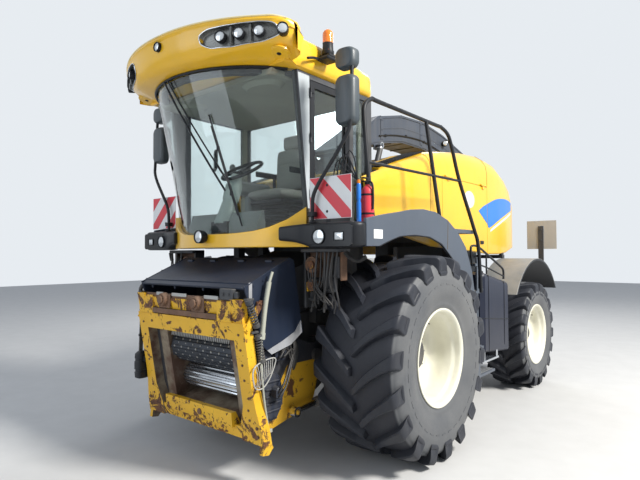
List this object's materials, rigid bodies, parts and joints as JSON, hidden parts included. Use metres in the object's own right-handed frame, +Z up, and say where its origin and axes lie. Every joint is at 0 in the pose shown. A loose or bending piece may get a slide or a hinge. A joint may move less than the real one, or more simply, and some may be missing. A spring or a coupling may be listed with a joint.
{
  "type": "self-propelled forage harvester",
  "caption": "Self-propelled forage harvester without a header: cab, feed rolls behind a header frame, engine hood, turning crop spout, big front wheels and small steered rear wheels.",
  "frame": {"origin": "on the ground below the middle of the overall length, between the left and right wheels", "axes": "+Z up, front towards -Y, the machine's left side towards +X"},
  "size_m": [3.29, 7.068, 3.708],
  "materials": {
    "yellow_paint": "gloss",
    "grey_paint": "satin",
    "dark_paint": "satin",
    "black_plastic": "matte",
    "tyre": "matte",
    "cream_paint": "satin",
    "glass": "clear",
    "steel": "worn",
    "board_red": "reflective",
    "amber": "clear",
    "seat_fabric": "woven",
    "lamp_glass": "clear",
    "hose_rubber": "matte"
  },
  "bodies": {
    "chassis": {"chassis": "dark_paint", "front_axle": "dark_paint", "rear_axle": "dark_paint", "cutter_housing": "dark_paint", "engine_block": "grey_paint", "cab_shell": "dark_paint", "cab_roof": "yellow_paint", "windscreen": "glass", "side_windows": "glass", "seat": "seat_fabric", "steering_console": "black_plastic", "front_apron": "yellow_paint", "light_boxes": "black_plastic", "lamps": "lamp_glass", "mirrors": "black_plastic", "warning_boards": "board_red", "beacons": "amber", "front_fenders": "grey_paint", "platform": "grey_paint", "handrails": "black_plastic", "side_tanks": "dark_paint", "rear_fenders": "grey_paint", "hood_shell": "yellow_paint", "rear_markers": "board_red", "exhaust_pipe": "steel"},
    "cab_door": {"cab_door": "black_plastic", "door_glass": "glass"},
    "side_panel_left": {"side_panel_left": "yellow_paint"},
    "side_panel_right": {"side_panel_right": "yellow_paint"},
    "rear_grille": {"rear_grille": "black_plastic"},
    "feeder": {"header_frame": "yellow_paint", "feeder_housing": "yellow_paint", "feed_cover": "black_plastic", "hose_bundle": "hose_rubber"},
    "upper_roll": {"upper_feed_roll": "steel"},
    "lower_roll": {"lower_feed_roll": "steel"},
    "lift_barrels": {"lift_barrels": "dark_paint"},
    "lift_rods": {"lift_rods": "steel"},
    "turret": {"spout_turret": "grey_paint"},
    "spout": {"spout_arch": "grey_paint"},
    "deflector": {"spout_deflector": "grey_paint"},
    "spout_barrel": {"spout_barrel": "dark_paint"},
    "spout_rod": {"spout_rod": "steel"},
    "front_left_wheel": {"front_rim_left": "cream_paint", "front_tyre_left": "tyre"},
    "front_right_wheel": {"front_rim_right": "cream_paint", "front_tyre_right": "tyre"},
    "rear_left_wheel": {"rear_rim_left": "cream_paint", "rear_tyre_left": "tyre"},
    "rear_right_wheel": {"rear_rim_right": "cream_paint", "rear_tyre_right": "tyre"},
    "knuckle_left": {"knuckle_left": "dark_paint"},
    "knuckle_right": {"knuckle_right": "dark_paint"},
    "tie_rod": {"tie_rod": "steel"}
  },
  "joints": [
    {"name": "front_left_wheel_spin", "type": "hinge", "parent": "chassis", "child": "front_left_wheel", "pos_m": [1.25, -1.705, 0.905], "axis": [1, 0, 0], "continuous": true},
    {"name": "front_right_wheel_spin", "type": "hinge", "parent": "chassis", "child": "front_right_wheel", "pos_m": [-1.25, -1.705, 0.905], "axis": [1, 0, 0], "continuous": true},
    {"name": "rear_left_steer", "type": "hinge", "parent": "chassis", "child": "knuckle_left", "pos_m": [0.85, 1.495, 0.71], "axis": [0, 0, 1], "range_deg": [-30, 30]},
    {"name": "rear_right_steer", "type": "hinge", "parent": "chassis", "child": "knuckle_right", "pos_m": [-0.85, 1.495, 0.71], "axis": [0, 0, 1], "range_deg": [-30, 30]},
    {"name": "rear_left_wheel_spin", "type": "hinge", "parent": "knuckle_left", "child": "rear_left_wheel", "pos_m": [1.19, 1.495, 0.71], "axis": [1, 0, 0], "continuous": true},
    {"name": "rear_right_wheel_spin", "type": "hinge", "parent": "knuckle_right", "child": "rear_right_wheel", "pos_m": [-1.19, 1.495, 0.71], "axis": [1, 0, 0], "continuous": true},
    {"name": "tie_rod_pivot", "type": "hinge", "parent": "knuckle_left", "child": "tie_rod", "pos_m": [0.85, 1.755, 0.646], "axis": [0, 0, 1], "range_deg": [-30, 30]},
    {"name": "feeder_lift", "type": "hinge", "parent": "chassis", "child": "feeder", "pos_m": [0, -2.255, 0.9], "axis": [-1, 0, 0], "range_deg": [0, 15]},
    {"name": "lift_barrel_pivot", "type": "hinge", "parent": "chassis", "child": "lift_barrels", "pos_m": [0, -1.585, 0.56], "axis": [-1, 0, 0], "range_deg": [-12, 12]},
    {"name": "lift_rod_slide", "type": "slide", "parent": "lift_barrels", "child": "lift_rods", "axis": [0, -0.9961, -0.0879], "range_m": [0, 0.10094]},
    {"name": "upper_feed_roll_spin", "type": "hinge", "parent": "feeder", "child": "upper_roll", "pos_m": [0, -2.96, 0.985], "axis": [1, 0, 0], "continuous": true},
    {"name": "lower_feed_roll_spin", "type": "hinge", "parent": "feeder", "child": "lower_roll", "pos_m": [0, -2.855, 0.69], "axis": [1, 0, 0], "continuous": true},
    {"name": "cab_door_swing", "type": "hinge", "parent": "chassis", "child": "cab_door", "pos_m": [0.914, -2.659, 2.6], "axis": [0, 0, -1], "range_deg": [0, 38]},
    {"name": "side_panel_left_lift", "type": "hinge", "parent": "chassis", "child": "side_panel_left", "pos_m": [1.062, 0.095, 2.704], "axis": [0, -1, 0], "range_deg": [0, 70]},
    {"name": "side_panel_right_lift", "type": "hinge", "parent": "chassis", "child": "side_panel_right", "pos_m": [-1.062, 0.095, 2.704], "axis": [0, 1, 0], "range_deg": [0, 70]},
    {"name": "rear_grille_swing", "type": "hinge", "parent": "chassis", "child": "rear_grille", "pos_m": [0.736, 2.131, 2.16], "axis": [0, 0, -1], "range_deg": [0, 100]},
    {"name": "spout_turn", "type": "hinge", "parent": "chassis", "child": "turret", "pos_m": [0, -1.105, 2.7], "axis": [0, 0, 1], "range_deg": [-105, 105]},
    {"name": "spout_lift", "type": "hinge", "parent": "turret", "child": "spout", "pos_m": [0, -1.375, 2.98], "axis": [1, 0, 0], "range_deg": [0, 22]},
    {"name": "spout_barrel_pivot", "type": "hinge", "parent": "turret", "child": "spout_barrel", "pos_m": [0, -0.775, 2.74], "axis": [1, 0, 0], "range_deg": [0, 25]},
    {"name": "spout_rod_slide", "type": "slide", "parent": "spout_barrel", "child": "spout_rod", "axis": [0, 0.383, 0.9237], "range_m": [0, 0.24928]},
    {"name": "deflector_tilt", "type": "hinge", "parent": "spout", "child": "deflector", "pos_m": [0, 2.899, 3.1], "axis": [-1, 0, 0], "range_deg": [0, 50]}
  ],
  "couplings": [
    {"joint": "rear_right_steer", "follows": "rear_left_steer", "ratio": 1},
    {"joint": "tie_rod_pivot", "follows": "rear_left_steer", "ratio": -1},
    {"joint": "lift_barrel_pivot", "follows": "feeder_lift", "ratio": 0.38622},
    {"joint": "lift_rod_slide", "follows": "feeder_lift", "m_per_rad": 0.37028},
    {"joint": "spout_barrel_pivot", "follows": "spout_lift", "ratio": 0.85409},
    {"joint": "spout_rod_slide", "follows": "spout_lift", "m_per_rad": 0.63879}
  ]
}
